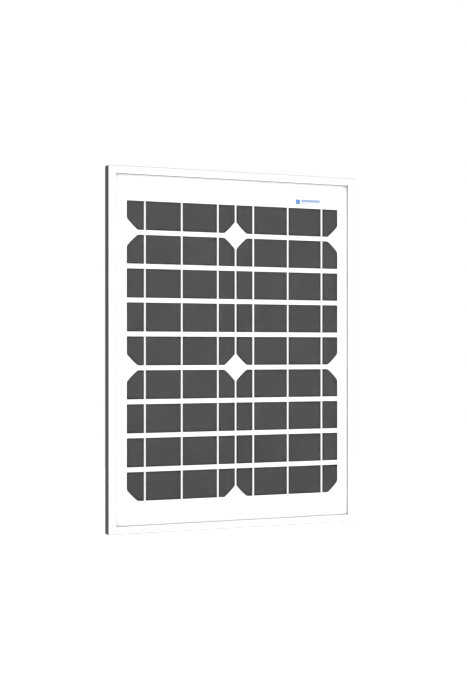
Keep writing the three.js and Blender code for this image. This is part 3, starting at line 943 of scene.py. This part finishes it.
def build_lid():
    """The lid, with a raised border and grip ribs outside and stiffening ribs inside."""
    softened("box_lid", "junction_box_cover", "plastic", COVER_EDGE, 3)
    low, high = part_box("box_base")
    plate_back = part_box("box_lid_gasket")[1].y
    plate_top = plate_back + LID_PLATE_T
    z0, z1 = low.z + BORDER_RISE, high.z - BORDER_DROP
    top, foot = plate_top + BOX_RELIEF, plate_top - BORDER_FOOT
    shoulder = top - BURIED
    section = list(zip(BORDER_ACROSS, (foot, shoulder, top, top, shoulder, foot)))
    bm = bmesh.new()
    outline = rounded_rectangle(-BORDER_HALF, BORDER_HALF, z0, z1, BORDER_RADIUS)
    add_loop(bm, outline, lambda i: section)
    piece("lid_border", mesh_of("lid_border", bm), "plastic", LID)
    ribs = []
    for i in range(GRIP_COUNT):
        z = z0 + GRIP_RISE + GRIP_PITCH * i
        ribs.append(((-GRIP_HALF, foot, z - RIB_HALF), (GRIP_HALF, top, z + RIB_HALF)))
    block_piece("lid_grip_ribs", ribs, "plastic", GRIP_EDGE, LID)
    front, back = plate_back - INNER_RIB_DEPTH, plate_back + BURIED
    inside = [((x - RIB_HALF, front, z0), (x + RIB_HALF, back, z1)) for x in INNER_RIB_X]
    block_piece("lid_inner_ribs", inside, "plastic", RIB_EDGE, LID)


def washer_mesh(centre):
    """A square clamp washer with round corners, a round hole and chamfered edges, flat in X and Z."""
    flat = WASHER_T / 2
    slope = flat - WASHER_CHAMFER
    hole = [(WASHER_CHAMFER, -flat, True), (0, -slope, True)]
    rim = [(-WASHER_CHAMFER, -flat, False), (0, -slope, False)]
    section = hole[::-1] + rim + [(reach, -y, at_hole) for reach, y, at_hole in rim[::-1] + hole]
    outline = rounded_rectangle(-WASHER_HALF, WASHER_HALF, -WASHER_HALF, WASHER_HALF, WASHER_CORNER)
    rings = []
    bm = bmesh.new()
    for reach, y, at_hole in section:
        ring = []
        for x, z in outline:
            length = math.hypot(x, z)
            scale = ((WASHER_HOLE if at_hole else length) + reach) / length
            ring.append(bm.verts.new(Vector(centre) + Vector((x * scale, y, z * scale))))
        rings.append(ring)
    join_rings(bm, rings + [rings[0]])
    return bm


def build_box_inside():
    """The tray's moulded ribs and signs, and the parts soldered and clamped in it."""
    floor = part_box("terminal_negative")[0].y
    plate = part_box("terminal_negative")[1].y
    foot = floor - BURIED
    rng = random.Random(11)
    ribs = []
    for z0, z1 in DIVIDER_SPANS:
        ribs.append(((-DIVIDER_HALF, foot, z0), (DIVIDER_HALF, floor + DIVIDER_H, z1)))
    signs = []
    for pole, side in POLES:
        low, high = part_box(f"terminal_{pole}")
        middle = (low.x + high.x) / 2
        for z in GUIDE_Z:
            for x0 in (low.x - GUIDE_W - BURIED, high.x + BURIED):
                corner = (x0 + GUIDE_W, floor + GUIDE_H, z + GUIDE_HALF)
                ribs.append(((x0, foot, z - GUIDE_HALF), corner))
        signs += sign_boxes(side, side * FLOOR_SIGN_X, foot, floor + BOX_RELIEF, FLOOR_SIGN_Z)
        screw_low, screw_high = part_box(f"terminal_screw_{pole}")
        washer_y = screw_high.y - SCREW_HEAD_T - WASHER_DROP
        centre = (middle, washer_y, (screw_low.z + screw_high.z) / 2)
        name = f"clamp_washer_{pole}"
        piece(name, mesh_of(name, washer_mesh(centre)), "steel")
        lead_joint = (middle, plate + LEAD_T - SOLDER_SINK, LEAD_JOINT_Z)
        diode_joint = (side * DIODE_JOINT_X, plate - SOLDER_SINK, DIODE_JOINT_Z)
        bm = bmesh.new()
        add_blob(bm, lead_joint, *LEAD_SOLDER, rng)
        add_blob(bm, diode_joint, *DIODE_SOLDER, rng)
        name = f"solder_{pole}"
        piece(name, mesh_of(name, bm, BEAD_SMOOTH), "solder")
    block_piece("box_floor_ribs", ribs, "plastic", RIB_EDGE)
    block_piece("box_floor_signs", signs, "plastic", SIGN_EDGE)


def build_diode():
    """The bypass diode: a moulded body with a pale band, on two bent leads."""
    low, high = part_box("bypass_diode")
    y, z = high.y - DIODE_R, (low.z + high.z) / 2
    profile = [
        (DIODE_AXIS, -DIODE_HALF),
        (DIODE_R - DIODE_CHAMFER, -DIODE_HALF),
        (DIODE_R, -DIODE_HALF + DIODE_CHAMFER),
    ]
    profile += [(r, -h) for r, h in reversed(profile)]
    bm = bmesh.new()
    add_lathe(bm, profile, (0, y, z), "x", DIODE_SIDES)
    bmesh.ops.remove_doubles(bm, verts=bm.verts, dist=DIODE_MERGE)
    bmesh.ops.delete(bm, geom=[e for e in bm.edges if e.is_wire], context="EDGES")
    piece("diode_body", mesh_of("diode_body", bm), "epoxy", PANEL, ["bypass_diode"])
    inner, outer = DIODE_R - BAND_SINK, DIODE_R + BAND_RISE
    start, end = BAND_SPAN
    bm = bmesh.new()
    profile = [(inner, start), (outer, start), (outer, end), (inner, end)]
    add_lathe(bm, profile, (0, y, z), "x", DIODE_SIDES)
    piece("diode_band", mesh_of("diode_band", bm), "band")
    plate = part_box("terminal_negative")[1].y
    path = [(-DIODE_JOINT_X, plate, z)]
    for i in range(LEAD_BEND_STEPS + 1):
        turn = i / LEAD_BEND_STEPS * math.pi / 2
        x = LEAD_BEND - DIODE_JOINT_X - LEAD_BEND * math.cos(turn)
        path.append((x, y - LEAD_BEND + LEAD_BEND * math.sin(turn), z))
    path += [(-px, py, pz) for px, py, pz in reversed(path)]
    bm = bmesh.new()
    add_tube(bm, path, LEAD_R)
    piece("diode_leads", mesh_of("diode_leads", bm), "solder")


def build_box():
    """The junction box on the back, with its glands and everything in it."""
    for node, name, mat, slot, width, segments in BOX_SOFTENED:
        softened(node, name, mat, width * MM, segments)
    for pole, _ in POLES:
        for node, name, mat, slot, width in POLE_SOFTENED:
            softened(f"{node}_{pole}", f"{name}_{pole}", mat, width * MM)
    build_lid()
    build_box_inside()
    build_diode()
    sign_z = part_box("box_base")[0].z + OUTLET_SIGN_RISE
    signs = []
    for pole, side in POLES:
        low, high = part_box(f"gland_body_{pole}")
        x = (low.x + high.x) / 2
        signs += sign_boxes(side, x, OUTLET_TOP_Y - BURIED, OUTLET_TOP_Y + BOX_RELIEF, sign_z)
    block_piece("outlet_signs", signs, "plastic", SIGN_EDGE)
    build_box_bead()


def build_box_bead():
    """The adhesive squeezed out all round the junction box's foot."""
    film_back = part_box("backsheet")[1].y
    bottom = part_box("box_base")[0].z
    shoulder, top = bottom + OUTLET_RISE, bottom + BOX_RISE
    left = [(-OUTLET_HALF, bottom), (-OUTLET_HALF, shoulder), (-BOX_HALF, shoulder), (-BOX_HALF, top)]
    outline = left[3:] + [(-x, z) for x, z in reversed(left)] + left[:3]
    loop = spaced(outline, BOX_BEAD_STEP)
    wander = BOX_BEAD_WANDER
    build_bead("box_adhesive_bead", "sealant", loop, film_back, BOX_BEAD, 5, wander, BOX_BEAD_UNDER)


# ---------- rating label ----------

PRINT_T = 0.015 * MM
LABEL_EDGE = 0.06 * MM
LABEL_MARGIN = 3 * MM
HEADER_H = 9 * MM
RULE_ROWS = 7
RULE_W = 0.25 * MM
RULE_GAP = 0.05 * MM
RULE_COLUMN = 46 * MM


def build_label():
    """The blank rating label: a header bar and ruled fields, with nothing written in them."""
    softened("rating_label", "label", "label", LABEL_EDGE)
    low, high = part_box("rating_label")
    y0, y1 = high.y, high.y + PRINT_T
    left, right = low.x + LABEL_MARGIN, high.x - LABEL_MARGIN
    bottom, top = low.z + LABEL_MARGIN, high.z - LABEL_MARGIN
    header = top - HEADER_H
    pitch = (header - bottom) / RULE_ROWS
    rows = [bottom + i * pitch for i in range(RULE_ROWS)]
    bm = bmesh.new()
    add_box(bm, (left, y0, header), (right, y1, top))
    for z in rows:
        add_box(bm, (left, y0, z), (right, y1, z + RULE_W))
    for x in (left, left + RULE_COLUMN, right - RULE_W):
        for z in rows:
            z0, z1 = z + RULE_W + RULE_GAP, z + pitch - RULE_GAP
            add_box(bm, (x, y0, z0), (x + RULE_W, y1, z1))
    piece("label_rules", mesh_of("label_rules", bm), "grey_print")


# ---------- stage ----------

CAMERA_LENS = 66.0
CAMERA_SENSOR = 36.0
CAMERA_YAW = 22.43
CAMERA_DISTANCE = 1.7705
CAMERA_AIM = (-0.0022, -0.0113, 0.0)
FLOOR_HALF = 0.9
FLOOR_DROP = 0.5 * MM
FLOOR_GLOW = 0.65
FRONT_LIGHT = 1.2
BACK_LIGHT = 0.92
LIGHT_ZONES = (
    # towards, then the degrees from its middle where the zone ends and where it is full, and its light
    ((0.38, -0.92, 0.0), 60, 36, 1.7),
    ((1.0, 0.1, 0.0), 52, 28, 0.86),
    ((-0.62, -0.60, 0.50), 48, 26, 2.8),
)
SHADE_TOWARDS = (-0.62, 0.78, 0.0)
SHADE_EDGE = 75
SHADE_CORE = 45
SHADE = 0.118
SHADE_SLOPE = 0.9
CAP_START = 0.64
CAP_END = 0.87
CAP = 0.19


def build_camera():
    """A level camera in front of the part and to its left, aimed at its middle."""
    camera = bpy.data.cameras.new("camera")
    camera.lens = CAMERA_LENS
    camera.sensor_width = CAMERA_SENSOR
    camera.clip_end = 50
    obj = bpy.data.objects.new("camera", camera)
    yaw = math.radians(CAMERA_YAW)
    obj.location = Vector(CAMERA_AIM) - Vector((math.sin(yaw), math.cos(yaw), 0)) * CAMERA_DISTANCE
    obj.rotation_euler = (math.pi / 2, 0, -yaw)
    bpy.context.scene.collection.objects.link(obj)
    bpy.context.scene.camera = obj


def build_floor():
    """A white floor just under the part, bright enough to melt into the background."""
    z = cad_bounds[0][2] - FLOOR_DROP
    mesh = bpy.data.meshes.new("floor")
    mesh.from_pydata([(x, y, z) for x, y in rectangle(FLOOR_HALF, FLOOR_HALF)], [], [(0, 1, 2, 3)])
    floor = bpy.data.objects.new("floor", mesh)
    bpy.context.scene.collection.objects.link(floor)
    mat, _, shader = material("floor")
    shader.inputs["Base Color"].default_value = (0.9, 0.9, 0.9, 1)
    shader.inputs["Roughness"].default_value = 0.9
    shader.inputs["Emission Color"].default_value = (1, 1, 1, 1)
    shader.inputs["Emission Strength"].default_value = FLOOR_GLOW
    mesh.materials.append(mat)
    floor.visible_glossy = False


def sloped(tree, value, start, end, low, high):
    """A value that goes smoothly from low to high as another goes from start to end."""
    node = tree.nodes.new("ShaderNodeMapRange")
    node.interpolation_type = "SMOOTHSTEP"
    for name, item in (("From Min", start), ("From Max", end), ("To Min", low), ("To Max", high)):
        feed(tree, item, node.inputs[name])
    tree.links.new(value, node.inputs["Value"])
    return node.outputs["Result"]


def build_world():
    """A white studio round the object, which the camera sees as plain white.

    It is brighter in front, with its brightest lights in front of the object and at its upper left.
    A dark zone at the back left shades that side face. Dim caps above and below it draw the edges.
    """
    world = bpy.data.worlds.new("studio")
    bpy.context.scene.world = world
    world.use_nodes = True
    tree = world.node_tree
    background = tree.nodes["Background"]
    coords = tree.nodes.new("ShaderNodeTexCoord")
    axes = tree.nodes.new("ShaderNodeSeparateXYZ")
    tree.links.new(coords.outputs["Generated"], axes.inputs[0])

    def zone(around, towards, edge, core, inside):
        """A round zone of the sky: inside up to core degrees from its middle, around past edge."""
        dot = tree.nodes.new("ShaderNodeVectorMath")
        dot.operation = "DOT_PRODUCT"
        tree.links.new(coords.outputs["Generated"], dot.inputs[0])
        dot.inputs[1].default_value = Vector(towards).normalized()
        cosines = [math.cos(math.radians(degrees)) for degrees in (edge, core)]
        return sloped(tree, dot.outputs["Value"], *cosines, around, inside)

    light = sloped(tree, axes.outputs["Y"], -0.1, 0.4, FRONT_LIGHT, BACK_LIGHT)
    for row in LIGHT_ZONES:
        light = zone(light, *row)
    slope = maths(tree, "MULTIPLY", axes.outputs["Z"], -SHADE * SHADE_SLOPE)
    shade = maths(tree, "ADD", slope, SHADE)
    light = zone(light, SHADE_TOWARDS, SHADE_EDGE, SHADE_CORE, shade)
    height = maths(tree, "ABSOLUTE", axes.outputs["Z"])
    cap = sloped(tree, height, CAP_START, CAP_END, 1.0, CAP)
    light = maths(tree, "MULTIPLY", light, cap)
    path = tree.nodes.new("ShaderNodeLightPath")
    choose = tree.nodes.new("ShaderNodeMix")
    tree.links.new(path.outputs["Is Camera Ray"], choose.inputs["Factor"])
    tree.links.new(light, choose.inputs["A"])
    choose.inputs["B"].default_value = 1.0
    tree.links.new(choose.outputs["Result"], background.inputs["Strength"])
    background.inputs["Color"].default_value = (1, 1, 1, 1)


def build_stage():
    """The camera, the floor and the light. Rays pass the many clear faces of the glass and film."""
    build_camera()
    build_floor()
    build_world()
    bpy.context.scene.view_settings.view_transform = "Standard"
    bpy.context.scene.cycles.transparent_max_bounces = 32


build_stage()
build_frame()
build_sealant()
build_glass_seal()
build_laminate()
build_mark()
build_box()
build_label()
